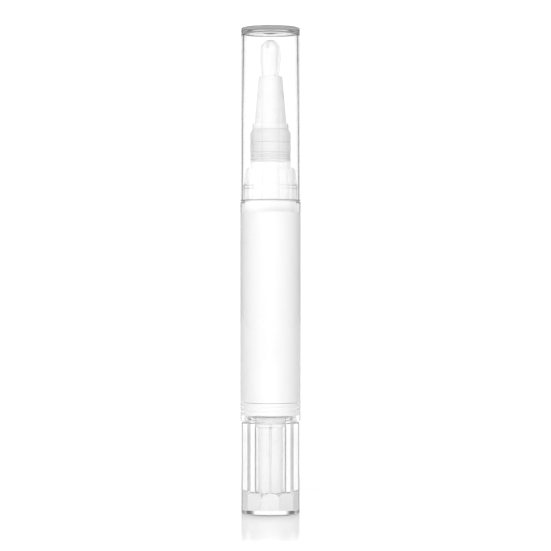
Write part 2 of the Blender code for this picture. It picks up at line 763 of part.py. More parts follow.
def ratchet_ring():
    """Ring of sawtooth teeth that point inwards, fixed in the end plug."""
    foot = plug_foot + RATCHET_LIFT
    top = foot + RATCHET_LENGTH

    def outline_at(angle):
        share = (angle * RATCHET_TEETH / tau + MERGE) % 1
        tooth = ratchet_root_radius - RATCHET_TOOTH_DEPTH * share * 3 / 2
        return [(ratchet_radius, top), (ratchet_radius, foot), (tooth, foot), (tooth, top)]

    finish = plastic("ratchet_white", (0.9, 0.9, 0.9), 0.35)
    piece = lofted("ratchet_ring", outline_at, RATCHET_FACETS, closed=True)
    add_piece(piece, barrel_group, foot, finish)


def click_pawl():
    """Pawl on the drive tube. Its lobes spring out past the teeth on the real pen, and clear them here."""
    foot = plug_foot + RATCHET_LIFT + PAWL_INSET
    top = foot + RATCHET_LENGTH - 2 * PAWL_INSET

    def outline_at(angle):
        share = (angle * PAWL_LOBES / tau) % 1
        climb = max(0, (share - PAWL_REST_SHARE) / (1 - PAWL_REST_SHARE))
        radius = pawl_hub_radius + (pawl_tip_radius - pawl_hub_radius) * climb
        return [(radius, top), (radius, foot), (pawl_bore, foot), (pawl_bore, top)]

    finish = plastic("pawl_white", (0.88, 0.88, 0.88), 0.35)
    piece = lofted("click_pawl", outline_at, INNER_FACETS, closed=True)
    add_piece(piece, knob_group, foot, finish)


def arched_side(angle, corner_radius, gap):
    """The foot, spring, apex and roof points of a ten-sided core, whose flats end in arches."""
    half = pi / BASE_FLATS
    flat_middle = corner_radius * cos(half)
    flat = flat_middle / cos(angle % (2 * half) - half)
    rise_share = (corner_radius - flat) / (corner_radius - flat_middle)
    return [
        (flat, BASE_SPRING_HEIGHT + gap + BASE_ARCH_RISE * rise_share),
        (flat_middle, base_apex + gap),
        (flat_middle - BASE_ROOF_INSET, base_roof + gap),
    ]


def knob():
    """Clear twist knob: thick wall, neck inside the barrel, and a ten-sided recess in its foot."""

    def outline_at(angle):
        sides = arched_side(angle, recess_corner_radius, FIT_GAP)
        recess = sides[0][0]
        return [
            (knob_neck_radius, knob_top),
            (knob_neck_radius, KNOB_LENGTH),
            (knob_radius - KNOB_EDGE, KNOB_LENGTH),
            (knob_radius, KNOB_LENGTH - KNOB_EDGE),
            (knob_radius, KNOB_EDGE),
            (knob_radius - KNOB_EDGE, 0),
            (recess, 0),
            *sides,
            (knob_bore, base_roof + FIT_GAP),
            (knob_bore, knob_top),
        ]

    finish = plastic("clear_knob", (0.97, 0.97, 0.97), 0.03, clear=1.0)
    add_piece(lofted("knob", outline_at, SHELL_FACETS, closed=True), knob_group, 0, finish)


def knob_base():
    """Milky ten-sided plug in the knob's foot, with a socket for the drive tube."""

    def outline_at(angle):
        sides = arched_side(angle, base_corner_radius, 0)
        return [
            (0, socket_floor),
            (base_socket_radius, socket_floor),
            (base_socket_radius, base_roof),
            *sides[::-1],
            (sides[0][0], BASE_LIFT),
            (0, BASE_LIFT),
        ]

    finish = plastic("milky_base", (0.9, 0.9, 0.9), 0.3, clear=0.3)
    piece = lofted("knob_base", outline_at, SHELL_FACETS, closed=False)
    add_piece(piece, knob_group, BASE_LIFT, finish)


cap()
barrel()
reservoir_sleeve()
nozzle_collar()
neck_seal()
feed_tube()
brush_holder()
brush_tuft()
piston()
lead_screw()
thread_seat()
drive_tube()
retaining_ring()
end_plug()
ratchet_ring()
click_pawl()
knob()
knob_base()
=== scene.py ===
from math import atan2, cos, floor, pi, radians, sin, sqrt, tau

import bmesh
import bpy
import numpy as np
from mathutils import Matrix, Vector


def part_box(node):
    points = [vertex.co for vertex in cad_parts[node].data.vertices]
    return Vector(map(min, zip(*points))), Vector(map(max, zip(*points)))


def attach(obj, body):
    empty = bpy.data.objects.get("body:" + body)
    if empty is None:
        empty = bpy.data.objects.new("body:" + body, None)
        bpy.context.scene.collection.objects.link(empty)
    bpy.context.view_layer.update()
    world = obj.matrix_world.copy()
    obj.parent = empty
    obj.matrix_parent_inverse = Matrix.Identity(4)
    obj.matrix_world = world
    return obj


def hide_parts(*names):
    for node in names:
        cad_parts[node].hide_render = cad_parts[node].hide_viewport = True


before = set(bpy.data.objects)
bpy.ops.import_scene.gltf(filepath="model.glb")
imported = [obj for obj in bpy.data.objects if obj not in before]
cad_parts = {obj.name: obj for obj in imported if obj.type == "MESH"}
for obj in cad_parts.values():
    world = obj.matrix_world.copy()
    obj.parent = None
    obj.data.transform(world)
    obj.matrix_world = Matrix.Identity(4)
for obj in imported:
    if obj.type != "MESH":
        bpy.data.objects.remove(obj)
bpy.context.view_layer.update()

# The twist knob is one thick moulding of clear plastic, with an air space round the stem. A core with
# ten flats is set in its foot, each flat ending in an arch, and a clear web closes the foot below it.
# Its dark grey outline is painted shade: the clear tint turns grey where the wall faces away from the
# eye.
mm = 0.001
same_place = 0.001 * mm
knob_low, knob_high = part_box("knob")
knob_radius = knob_high.x
knob_grip = 25.5 * mm
knob_neck_radius = 7.0 * mm
knob_bore = 4.2 * mm
knob_edge = 0.22 * mm
core_corner_radius = 7.5 * mm
core_flats = 10
core_top = 6.1 * mm
core_clear = 0.15 * mm
web_top = 1.3 * mm
web_foot = 0.3 * mm
flat_cuts = 9
arch_rise = 1.1 * mm
arch_power = 2.6
socket_radius = 3.7 * mm
socket_floor = 4.0 * mm
clear_ior = 1.56
clear_grey = 7
knob_painted_edge_shade = 0.05
knob_edge_shade_turn = (0.68, 0.79)
sharp_turn = radians(30)
smooth_turn = radians(32)
rounding_steps = 3
flat_weight = 100
flow_scale = 90
flow_detail = 2
flow_height = 0.1 * mm
light_passed = 0.99


def turn_outline(name, outline, steps=128, rounding=0.0):
    """Draws an outline of (radius, height) points as a wire, spins it round the pen's axis and
    rounds its sharp edges. An outline that starts off the axis is closed into a ring."""
    if outline[0][0] > 0:
        outline = outline + [outline[0]]
    bpy.ops.object.select_all(action="DESELECT")
    bpy.ops.mesh.primitive_plane_add(size=mm, location=(outline[0][0], 0, outline[0][1]))
    piece = bpy.context.object
    piece.name = name
    bpy.ops.object.transform_apply(location=True, rotation=True, scale=True)
    bpy.ops.object.mode_set(mode="EDIT")
    bpy.ops.mesh.select_all(action="SELECT")
    bpy.ops.mesh.merge(type="CENTER")
    for here, there in zip(outline, outline[1:]):
        step = (there[0] - here[0], 0, there[1] - here[1])
        bpy.ops.mesh.extrude_region_move(TRANSFORM_OT_translate={"value": step})
    bpy.ops.mesh.select_all(action="SELECT")
    bpy.ops.mesh.spin(steps=steps, angle=tau, center=(0, 0, 0), axis=(0, 0, 1))
    bpy.ops.mesh.select_all(action="SELECT")
    bpy.ops.mesh.remove_doubles(threshold=same_place)
    bpy.ops.mesh.normals_make_consistent(inside=False)
    bpy.ops.object.mode_set(mode="OBJECT")
    if rounding:
        round_edges(piece, rounding)
    even_shading(piece)
    return piece


def round_edges(piece, width):
    """Rounds every sharp edge of a piece."""
    bpy.context.view_layer.objects.active = piece
    bpy.ops.object.modifier_add(type="BEVEL")
    bevel = piece.modifiers[-1]
    bevel.width = width
    bevel.segments = rounding_steps
    bevel.limit_method = "ANGLE"
    bevel.angle_limit = sharp_turn
    bpy.ops.object.modifier_apply(modifier=bevel.name)


def even_shading(piece):
    """Shades a piece smooth, with its large faces keeping their own direction up to the rounded
    edges, so that clear walls don't bend what is seen through them."""
    bpy.ops.object.select_all(action="DESELECT")
    piece.select_set(True)
    bpy.context.view_layer.objects.active = piece
    bpy.ops.object.shade_smooth_by_angle(angle=smooth_turn)
    bpy.ops.object.modifier_add(type="WEIGHTED_NORMAL")
    evened = piece.modifiers[-1]
    evened.keep_sharp = True
    evened.weight = flat_weight
    bpy.ops.object.modifier_apply(modifier=evened.name)


def cut_with(piece, tool):
    """Cuts another solid's shape out of a piece, and throws the tool away."""
    bpy.context.view_layer.objects.active = piece
    bpy.ops.object.modifier_add(type="BOOLEAN")
    cut = piece.modifiers[-1]
    cut.operation = "DIFFERENCE"
    cut.object = tool
    bpy.ops.object.modifier_apply(modifier=cut.name)
    bpy.data.objects.remove(tool)


def worked_out(tree, operation, first, second=None):
    """One sum in a node tree. A number is set on its socket, and anything else is linked to it."""
    node = tree.nodes.new("ShaderNodeMath")
    node.operation = operation
    for number, value in enumerate((first, second)):
        if isinstance(value, (int, float)):
            node.inputs[number].default_value = value
        elif value is not None:
            tree.links.new(value, node.inputs[number])
    return node.outputs["Value"]


def clear_plastic(name, tint=0.99, haze=0.012, ripple=0.02, bulk=0):
    """Polished clear plastic. Slow ripples from the mould show in its gloss, lamps shine through
    it, and its bulk takes a share of the light for each metre."""
    finish = bpy.data.materials.new(name)
    finish.use_nodes = True
    nodes = finish.node_tree.nodes
    links = finish.node_tree.links
    shader = nodes["Principled BSDF"]
    shader.inputs["Base Color"].default_value = (tint, tint, tint, 1)
    shader.inputs["Transmission Weight"].default_value = 1
    shader.inputs["IOR"].default_value = clear_ior
    place = nodes.new("ShaderNodeTexCoord")
    flow = nodes.new("ShaderNodeTexNoise")
    flow.inputs["Scale"].default_value = flow_scale
    flow.inputs["Detail"].default_value = flow_detail
    links.new(place.outputs["Object"], flow.inputs["Vector"])
    haze_range = nodes.new("ShaderNodeMapRange")
    haze_range.inputs["To Min"].default_value = 0
    haze_range.inputs["To Max"].default_value = haze
    links.new(flow.outputs["Fac"], haze_range.inputs["Value"])
    links.new(haze_range.outputs["Result"], shader.inputs["Roughness"])
    bump = nodes.new("ShaderNodeBump")
    bump.inputs["Strength"].default_value = ripple
    bump.inputs["Distance"].default_value = flow_height
    links.new(flow.outputs["Fac"], bump.inputs["Height"])
    links.new(bump.outputs["Normal"], shader.inputs["Normal"])
    lamp_light = nodes.new("ShaderNodeBsdfTransparent")
    lamp_light.inputs["Color"].default_value = (light_passed, light_passed, light_passed, 1)
    rays = nodes.new("ShaderNodeLightPath")
    soft_light = worked_out(
        finish.node_tree, "MAXIMUM", rays.outputs["Is Shadow Ray"], rays.outputs["Is Diffuse Ray"]
    )
    through = nodes.new("ShaderNodeMixShader")
    links.new(soft_light, through.inputs["Fac"])
    links.new(shader.outputs["BSDF"], through.inputs[1])
    links.new(lamp_light.outputs["BSDF"], through.inputs[2])
    links.new(through.outputs["Shader"], nodes["Material Output"].inputs["Surface"])
    if bulk:
        grey = nodes.new("ShaderNodeVolumeAbsorption")
        grey.inputs["Color"].default_value = (0, 0, 0, 1)
        grey.inputs["Density"].default_value = bulk
        links.new(grey.outputs["Volume"], nodes["Material Output"].inputs["Volume"])
    return finish


def zone(finish, low, high):
    """A mask that is one between two heights of a piece, and nought elsewhere."""
    tree = finish.node_tree
    place = tree.nodes.new("ShaderNodeTexCoord")
    height = tree.nodes.new("ShaderNodeSeparateXYZ")
    tree.links.new(place.outputs["Object"], height.inputs["Vector"])
    above = worked_out(tree, "GREATER_THAN", height.outputs["Z"], low)
    below = worked_out(tree, "LESS_THAN", height.outputs["Z"], high)
    return worked_out(tree, "MULTIPLY", above, below)


def paint_shade(finish, tone, low, high, turn=None):
    """Paints shade into a finish: its colour turns greyer between two heights. Turn is two shares of how
    far a wall faces away from the eye: the painted shade then comes in from the first to the second."""
    nodes = finish.node_tree.nodes
    links = finish.node_tree.links
    colour_in = nodes["Principled BSDF"].inputs["Base Color"]
    blend = nodes.new("ShaderNodeMix")
    blend.data_type = "RGBA"
    blend.inputs["A"].default_value = colour_in.default_value
    blend.inputs["B"].default_value = (tone, tone, tone, 1)
    if colour_in.links:
        links.new(colour_in.links[0].from_socket, blend.inputs["A"])
    share = zone(finish, low, high)
    if turn:
        turned = nodes.new("ShaderNodeLayerWeight")
        turned_range = nodes.new("ShaderNodeMapRange")
        turned_range.inputs["From Min"].default_value = turn[0]
        turned_range.inputs["From Max"].default_value = turn[1]
        links.new(turned.outputs["Facing"], turned_range.inputs["Value"])
        share = worked_out(finish.node_tree, "MULTIPLY", turned_range.outputs["Result"], share)
    links.new(share, blend.inputs["Factor"])
    links.new(blend.outputs["Result"], colour_in)


def dress(piece, finish, body, node):
    """Gives a piece its finish, sets it on its body and lets it stand for its CAD node."""
    piece.data.materials.clear()
    piece.data.materials.append(finish)
    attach(piece, body)
    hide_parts(node)


def core(name, growth):
    """The ten-sided core of the knob's foot: a drawn-up ring of flats whose tops are arched, with
    a socket down its middle. Growth makes it larger all round, so that it wets what it touches."""
    foot = web_top - growth
    bpy.ops.object.select_all(action="DESELECT")
    bpy.ops.mesh.primitive_circle_add(
        vertices=core_flats, radius=core_corner_radius + growth,
        location=(0, 0, foot), rotation=(0, 0, pi / 2),
    )
    body = bpy.context.object
    body.name = name
    bpy.ops.object.transform_apply(location=True, rotation=True, scale=True)
    bpy.ops.object.mode_set(mode="EDIT")
    bpy.ops.mesh.select_all(action="SELECT")
    bpy.ops.mesh.subdivide(number_cuts=flat_cuts)
    bpy.ops.mesh.extrude_region_move(TRANSFORM_OT_translate={"value": (0, 0, core_top + growth - foot)})
    builder = bmesh.from_edit_mesh(body.data)
    for point in builder.verts:
        if point.select:
            turn = atan2(point.co.y, point.co.x) * core_flats / tau
            off_middle = abs(turn - floor(turn) - 0.5) * 2
            point.co.z -= arch_rise * (1 - (1 - off_middle ** arch_power) ** (1 / arch_power))
    bmesh.update_edit_mesh(body.data)
    bpy.ops.mesh.extrude_region_move()
    inward = socket_radius / core_corner_radius
    bpy.ops.transform.resize(value=(inward, inward, 1), center_override=(0, 0, 0))
    bpy.ops.mesh.extrude_region_move()
    bpy.ops.transform.resize(value=(1, 1, 0), center_override=(0, 0, socket_floor))
    bpy.ops.mesh.edge_face_add()
    bpy.ops.mesh.select_all(action="DESELECT")
    bpy.ops.object.mode_set(mode="OBJECT")
    for point in body.data.vertices:
        point.select = abs(point.co.z - foot) < same_place
    bpy.ops.object.mode_set(mode="EDIT")
    bpy.ops.mesh.edge_face_add()
    bpy.ops.mesh.select_all(action="SELECT")
    bpy.ops.mesh.normals_make_consistent(inside=False)
    bpy.ops.object.mode_set(mode="OBJECT")
    return body


def ten_sided(name, foot, top):
    """A plain ten-sided block of the core's width."""
    bpy.ops.object.select_all(action="DESELECT")
    bpy.ops.mesh.primitive_cylinder_add(
        vertices=core_flats, radius=core_corner_radius, depth=top - foot,
        location=(0, 0, (foot + top) / 2), rotation=(0, 0, pi / 2),
    )
    block = bpy.context.object
    block.name = name
    bpy.ops.object.transform_apply(location=True, rotation=True, scale=True)
    return block


knob_outline = [
    (0, web_top + core_clear),
    (knob_bore, web_top + core_clear),
    (knob_bore, core_top + core_clear),
    (knob_bore, knob_high.z),
    (knob_neck_radius, knob_high.z),
    (knob_neck_radius, knob_grip),
    (knob_radius, knob_grip),
    (knob_radius, knob_low.z),
    (0, knob_low.z),
]
clear_knob = turn_outline("clear_knob", knob_outline, rounding=knob_edge)
cut_with(clear_knob, core("knob_core", 0))
cut_with(clear_knob, ten_sided("foot_recess", -mm, web_foot))
even_shading(clear_knob)
knob_finish = clear_plastic("knob_clear", bulk=clear_grey)
# Painted shade: the knob's clear tint turns grey where its wall faces away, drawing its dark outline.
paint_shade(knob_finish, knob_painted_edge_shade, knob_low.z - mm, knob_high.z + mm, turn=knob_edge_shade_turn)
dress(clear_knob, knob_finish, "knob", "knob")

# The drive tube is the white stem seen through the knob. It is moulded in acetal with a collar
# that is pressed into the knob, and a fine moulding groove runs down its front.
drive_low, drive_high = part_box("drive_tube")
stem_radius = 3.5 * mm
stem_bore = 2.7 * mm
stem_collar_top = knob_high.z
stem_collar_length = 2.9 * mm
stem_rounding = 0.12 * mm
seam_width = 0.42 * mm
seam_depth = 0.6 * mm
seam_end = 1.0 * mm
stem_colour = (0.94, 0.94, 0.94)
white_ior = 1.48
glow_depth = 1.0 * mm
grain_detail = 4
grain_tone = 0.985
grain_strength = 0.04
grain_height = 0.05 * mm
gloss_spread = 0.05


def white_plastic(name, colour=(0.9, 0.9, 0.9), gloss=0.28, grain=300, glow=0.0):
    """Moulded white plastic: a satin surface with a fine grain and slow clouds of tone."""
    finish = bpy.data.materials.new(name)
    finish.use_nodes = True
    nodes = finish.node_tree.nodes
    links = finish.node_tree.links
    shader = nodes["Principled BSDF"]
    shader.inputs["IOR"].default_value = white_ior
    shader.inputs["Subsurface Weight"].default_value = glow
    shader.inputs["Subsurface Scale"].default_value = glow_depth
    place = nodes.new("ShaderNodeTexCoord")
    clouds = nodes.new("ShaderNodeTexNoise")
    clouds.inputs["Scale"].default_value = grain
    clouds.inputs["Detail"].default_value = grain_detail
    links.new(place.outputs["Object"], clouds.inputs["Vector"])
    tone = nodes.new("ShaderNodeMix")
    tone.data_type = "RGBA"
    tone.inputs["A"].default_value = (*[grain_tone * part for part in colour], 1)
    tone.inputs["B"].default_value = (*colour, 1)
    links.new(clouds.outputs["Fac"], tone.inputs["Factor"])
    links.new(tone.outputs["Result"], shader.inputs["Base Color"])
    satin = nodes.new("ShaderNodeMapRange")
    satin.inputs["To Min"].default_value = gloss - gloss_spread
    satin.inputs["To Max"].default_value = gloss + gloss_spread
    links.new(clouds.outputs["Fac"], satin.inputs["Value"])
    links.new(satin.outputs["Result"], shader.inputs["Roughness"])
    bump = nodes.new("ShaderNodeBump")
    bump.inputs["Strength"].default_value = grain_strength
    bump.inputs["Distance"].default_value = grain_height
    links.new(clouds.outputs["Fac"], bump.inputs["Height"])
    links.new(bump.outputs["Normal"], shader.inputs["Normal"])
    return finish


stem_outline = [
    (stem_radius, drive_high.z),
    (stem_radius, stem_collar_top),
    (drive_high.x, stem_collar_top),
    (drive_high.x, stem_collar_top - stem_collar_length),
    (stem_radius, stem_collar_top - stem_collar_length),
    (stem_radius, drive_low.z),
    (stem_bore, drive_low.z),
    (stem_bore, drive_high.z),
]
stem = turn_outline("drive_stem", stem_outline, rounding=stem_rounding)
bpy.ops.object.select_all(action="DESELECT")
bpy.ops.mesh.primitive_cube_add(size=1, location=(0, -stem_radius, (drive_low.z + knob_grip) / 2))
seam = bpy.context.object
seam.scale = (seam_width, 2 * seam_depth, knob_grip - drive_low.z - 2 * seam_end)
bpy.ops.object.transform_apply(location=True, rotation=True, scale=True)
cut_with(stem, seam)
even_shading(stem)
dress(stem, white_plastic("stem_white", stem_colour), "knob", "drive_tube")

# The clicks come from a pawl on the drive tube that runs inside a ring of teeth, and a steel
# split ring above the end plug keeps the drive tube in. All three keep their CAD shape.
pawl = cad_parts["click_pawl"]
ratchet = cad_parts["ratchet_ring"]
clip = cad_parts["retaining_ring"]


def keep_shape(node, finish):
    """Gives a CAD node that keeps its shape a finish of its own."""
    node.data.materials.clear()
    node.data.materials.append(finish)


keep_shape(pawl, white_plastic("pawl_acetal", (0.88, 0.88, 0.87)))
keep_shape(ratchet, white_plastic("ratchet_acetal", (0.9, 0.9, 0.9)))
clip_steel = white_plastic("clip_steel", (0.62, 0.62, 0.63), gloss=0.3)
clip_steel.node_tree.nodes["Principled BSDF"].inputs["Metallic"].default_value = 1
keep_shape(clip, clip_steel)

# The end plug closes the barrel's lower end. It is natural polypropylene, so it looks milky, and
# its flange shows as a pale band between the white sleeve and the knob.
plug_low, plug_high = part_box("end_plug")
barrel_bore = 7.6 * mm
plug_bite = 0.02 * mm
plug_flange_radius = barrel_bore + plug_bite
plug_shelf = plug_low.z + 3.5 * mm
plug_inner_radius = 6.9 * mm
plug_ceiling = plug_shelf - 0.6 * mm
plug_bore = 3.65 * mm
plug_spigot_radius = 6.85 * mm
plug_edge = 0.05 * mm
plug_colour = (0.89, 0.89, 0.89)


def milky_plastic(name, colour=(0.95, 0.95, 0.95), depth=0.5, gloss=0.3, glow=0.3):
    """Natural polypropylene: the light goes in a little way and comes out scattered."""
    finish = white_plastic(name, colour, gloss, glow=glow)
    shader = finish.node_tree.nodes["Principled BSDF"]
    shader.inputs["Subsurface Radius"].default_value = (1, 1, 1)
    shader.inputs["Subsurface Scale"].default_value = depth * mm
    return finish


plug_grooves = (29.87 * mm, 28.75 * mm)
groove_half = 0.14 * mm
groove_depth = 0.07 * mm
plug_outline = [
    (plug_spigot_radius, plug_high.z),
    (plug_spigot_radius, plug_shelf),
    (plug_flange_radius, plug_shelf),
]
for height in plug_grooves:
    plug_outline.append((plug_flange_radius, height + groove_half))
    plug_outline.append((plug_flange_radius - groove_depth, height))
    plug_outline.append((plug_flange_radius, height - groove_half))
plug_outline += [
    (plug_flange_radius, plug_low.z),
    (plug_inner_radius, plug_low.z),
    (plug_inner_radius, plug_ceiling),
    (plug_bore, plug_ceiling),
    (plug_bore, plug_high.z),
]
plug = turn_outline("milky_plug", plug_outline, rounding=plug_edge)
plug_milky = milky_plastic("plug_milky", plug_colour, glow=0.0)
dress(plug, plug_milky, "barrel", "end_plug")

# A milky ten-sided plug fills the core of the knob's foot. It wets the clear wall round it, so each
# flat shows as an arched panel, and its socket holds the stem's foot.
core_bite = 0.02 * mm
base_colour = (0.83, 0.83, 0.83)
milky_base = core("milky_base", core_bite)
even_shading(milky_base)
dress(milky_base, white_plastic("base_milky", base_colour), "knob", "knob_base")

# The thread seat, the lead screw and the piston work out of sight inside the white sleeve. They
# are acetal and soft polyethylene mouldings, and keep their CAD shape.
keep_shape(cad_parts["thread_seat"], white_plastic("seat_acetal", (0.85, 0.85, 0.84)))
keep_shape(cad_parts["lead_screw"], white_plastic("screw_acetal", (0.87, 0.87, 0.86)))
keep_shape(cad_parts["piston"], white_plastic("piston_soft", (0.88, 0.88, 0.87), gloss=0.4))

# The reservoir sleeve is a white tube pressed into the clear barrel. It wets the barrel's wall,
# so its white fills the barrel from edge to edge, with soft corners at both ends.
sleeve_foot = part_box("reservoir_sleeve")[0].z
sleeve_bite = 0.02 * mm
sleeve_bore = 6.95 * mm
roof = 84.3 * mm
sleeve_top = roof + sleeve_bite
sleeve_colour = (0.89, 0.89, 0.89)
sleeve_outline = [
    (barrel_bore + sleeve_bite, sleeve_top),
    (barrel_bore + sleeve_bite, sleeve_foot),
    (sleeve_bore, sleeve_foot),
    (sleeve_bore, sleeve_top),
]
sleeve = turn_outline("white_sleeve", sleeve_outline, rounding=sleeve_bite)
sleeve_white = white_plastic("sleeve_white", sleeve_colour, gloss=0.35, grain=120)
dress(sleeve, sleeve_white, "barrel", "reservoir_sleeve")

# The barrel is one clear moulding: tube, roof, neck, a bead that grips the cap, and a lip that the
# nozzle collar stands on. Two fine grey lines of painted shade are tinted in at the bead's edges, darker
# where the wall faces away.
barrel_low, barrel_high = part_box("barrel")
barrel_radius = barrel_high.x
shoulder = 87.2 * mm
neck_radius = 7.55 * mm
bead_radius = 7.62 * mm
bead_low = 91.0 * mm
bead_high = 91.9 * mm
bead_flank = 0.25 * mm
above_bead_radius = 7.37 * mm
neck_top_radius = 6.94 * mm
neck_top = 95.9 * mm
neck_round = 1.0 * mm
neck_arc = (0.9, 0.7, 0.5, 0.3, 0.1)
lip_radius = 5.68 * mm
neck_bore = 4.6 * mm
barrel_rounding = 0.12 * mm
bead_shade_tone = 0.4
bead_shade_turn = (0, 0.5)
bead_shade_lines = (
    (bead_high - 0.32 * mm, bead_high - 0.06 * mm),
    (bead_low - bead_flank, bead_low + 0.05 * mm),
)
barrel_outline = [
    (lip_radius, barrel_high.z),
    (lip_radius, neck_top + neck_round),
    *[
        (
            neck_top_radius - neck_round * (1 - cos(share * pi / 2)),
            neck_top + neck_round * sin(share * pi / 2),
        )
        for share in neck_arc
    ],
    (neck_top_radius, neck_top),
    (above_bead_radius, bead_high + bead_flank),
    (bead_radius, bead_high),
    (bead_radius, bead_low),
    (neck_radius, bead_low - bead_flank),
    (neck_radius, shoulder),
    (barrel_radius, shoulder),
    (barrel_radius, barrel_low.z),
    (barrel_bore, barrel_low.z),
    (barrel_bore, roof),
    (neck_bore, roof),
    (neck_bore, barrel_high.z),
]
clear_barrel = turn_outline("clear_barrel", barrel_outline, rounding=barrel_rounding)
barrel_finish = clear_plastic("barrel_clear", bulk=clear_grey)
# Painted shade: grey bands at the bead's edges, darker where the wall faces away.
for low, high in bead_shade_lines:
    paint_shade(barrel_finish, bead_shade_tone, low, high, turn=bead_shade_turn)
dress(clear_barrel, barrel_finish, "barrel", "barrel")

# The nozzle collar is milky polypropylene with a ringed head. One moulding is given two tones: the head
# is painted darker as shade, and the spigot is painted brighter as light, so that it shows white through
# the clear neck. The spigot goes down the neck, where an O-ring seals it, and the feed tube runs up
# through it.
collar_low, collar_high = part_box("nozzle_collar")
collar_radius = collar_high.x
collar_foot = barrel_high.z
collar_chamfer = 0.57 * mm
collar_chamfer_length = 1.1 * mm
collar_bore = 3.6 * mm
collar_spigot_radius = neck_bore + sleeve_bite
collar_floor = 98.8 * mm
feed_hole = 0.95 * mm
ring_depth = 0.24 * mm
ring_half = 0.22 * mm
collar_edge = 0.05 * mm
ring_rises = (5.2 * mm, 2.4 * mm, 1.7 * mm, 1.2 * mm, 0.5 * mm)
collar_head_shade_colour = (0.81, 0.81, 0.81)
spigot_lit_colour = (0.96, 0.96, 0.96)
collar_outline = [
    (collar_radius - collar_chamfer, collar_high.z),
    (collar_radius, collar_high.z - collar_chamfer_length),
]
for rise in ring_rises:
    height = collar_foot + rise
    collar_outline.append((collar_radius, height + ring_half))
    collar_outline.append((collar_radius - ring_depth, height))
    collar_outline.append((collar_radius, height - ring_half))
collar_outline += [
    (collar_radius, collar_foot),
    (feed_hole, collar_foot),
    (feed_hole, collar_floor),
    (collar_bore, collar_floor),
    (collar_bore, collar_high.z),
]
spigot_outline = [
    (collar_spigot_radius, collar_foot + sleeve_bite),
    (collar_spigot_radius, collar_low.z),
    (feed_hole, collar_low.z),
    (feed_hole, collar_foot + sleeve_bite),
]
collar = turn_outline("milky_collar", collar_outline, rounding=collar_edge)
spigot = turn_outline("milky_spigot", spigot_outline, rounding=sleeve_bite)
# Painted light and shade: the head's tone is darker and the spigot's brighter, on one moulding.
collar_milky = milky_plastic("collar_milky", collar_head_shade_colour)
spigot_milky = milky_plastic("spigot_milky", spigot_lit_colour)
dress(collar, collar_milky, "barrel", "nozzle_collar")
dress(spigot, spigot_milky, "barrel", "nozzle_collar")
keep_shape(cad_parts["neck_seal"], white_plastic("seal_rubber", (0.85, 0.85, 0.84), gloss=0.6))
keep_shape(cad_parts["feed_tube"], white_plastic("feed_white", (0.9, 0.9, 0.9)))

# The brush holder is a white cone on a flange, moulded in satin polypropylene. Its spigot is
# pressed into the collar.
holder_low, holder_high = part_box("brush_holder")
flange_radius = holder_high.x
flange_foot = collar_high.z
flange_top = 109.1 * mm
cone_foot_radius = 4.49 * mm
cone_top_radius = 3.31 * mm
holder_spigot_radius = 3.5 * mm
tuft_socket_radius = 2.65 * mm
tuft_socket_floor = 117.9 * mm
holder_edge = 0.18 * mm
holder_colour = (0.86, 0.86, 0.86)
holder_outline = [
    (cone_top_radius, holder_high.z),
    (cone_foot_radius, flange_top),
    (flange_radius, flange_top),
    (flange_radius, flange_foot),
    (holder_spigot_radius, flange_foot),
    (holder_spigot_radius, holder_low.z),
    (feed_hole, holder_low.z),
    (feed_hole, tuft_socket_floor),
    (tuft_socket_radius, tuft_socket_floor),
    (tuft_socket_radius, holder_high.z),
]
holder = turn_outline("white_holder", holder_outline, rounding=holder_edge)
dress(holder, white_plastic("holder_white", holder_colour), "barrel", "brush_holder")

# The tuft is a bundle of fine white nylon bristles. They swell out of the holder, close in to a
# dome, and each ends in a soft point.
tuft_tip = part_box("brush_tuft")[1].z
tuft_root_radius = 2.45 * mm
tuft_mouth = holder_high.z
tuft_belly_radius = 2.95 * mm
tuft_tip_radius = 2.35 * mm
tuft_dome = 1.7 * mm
dome_power = 2.4
tuft_sunk = 1.5 * mm
tip_scatter = 0.12 * mm
belly_share = 0.55
bristle_radius = 0.055 * mm
bristle_sides = 5
bristle_count = 1500
bristle_levels = 7
bristle_tip = 0.35
golden_turn = pi * (3 - sqrt(5))
bundle_share = 0.45
dome_lift = 1.5
scatter_seed = 7
bristle_colour = (0.97, 0.97, 0.97)


def tuft_spread(share):
    """How far the bundle has swollen at a share of the bristles' free length."""
    belly = tuft_belly_radius / tuft_root_radius
    tip = tuft_tip_radius / tuft_root_radius
    swell = sin(min(1, share / belly_share) * pi / 2)
    close = max(0, (share - belly_share) / (1 - belly_share))
    return 1 + (belly - 1) * swell - (belly - tip) * close ** 2


def bristle_mesh():
    """One bristle at unit length: a thin five-sided rod, drawn out to a point at its tip."""
    bpy.ops.object.select_all(action="DESELECT")
    bpy.ops.mesh.primitive_circle_add(vertices=bristle_sides, radius=1, fill_type="NGON")
    rod = bpy.context.object
    bpy.ops.object.mode_set(mode="EDIT")
    bpy.ops.mesh.select_all(action="SELECT")
    for level in range(bristle_levels):
        bpy.ops.mesh.extrude_region_move(TRANSFORM_OT_translate={"value": (0, 0, 1 / bristle_levels)})
    bpy.ops.transform.resize(value=(bristle_tip, bristle_tip, 1))
    bpy.ops.mesh.select_all(action="SELECT")
    bpy.ops.mesh.normals_make_consistent(inside=False)
    bpy.ops.object.mode_set(mode="OBJECT")
    points = np.array([vertex.co for vertex in rod.data.vertices])
    faces = [list(face.vertices) for face in rod.data.polygons]
    bpy.data.objects.remove(rod)
    return points, faces


def bundle_directions(mesh):
    """Turns each bristle's shading towards that of the whole bundle, which glows through as one."""
    directions = []
    for vertex in mesh.vertices:
        outward = vertex.co.copy()
        outward.z = max(0, vertex.co.z - tuft_tip + tuft_dome) * dome_lift
        own = vertex.normal.copy()
        directions.append((own * (1 - bundle_share) + outward.normalized() * bundle_share).normalized())
    return directions


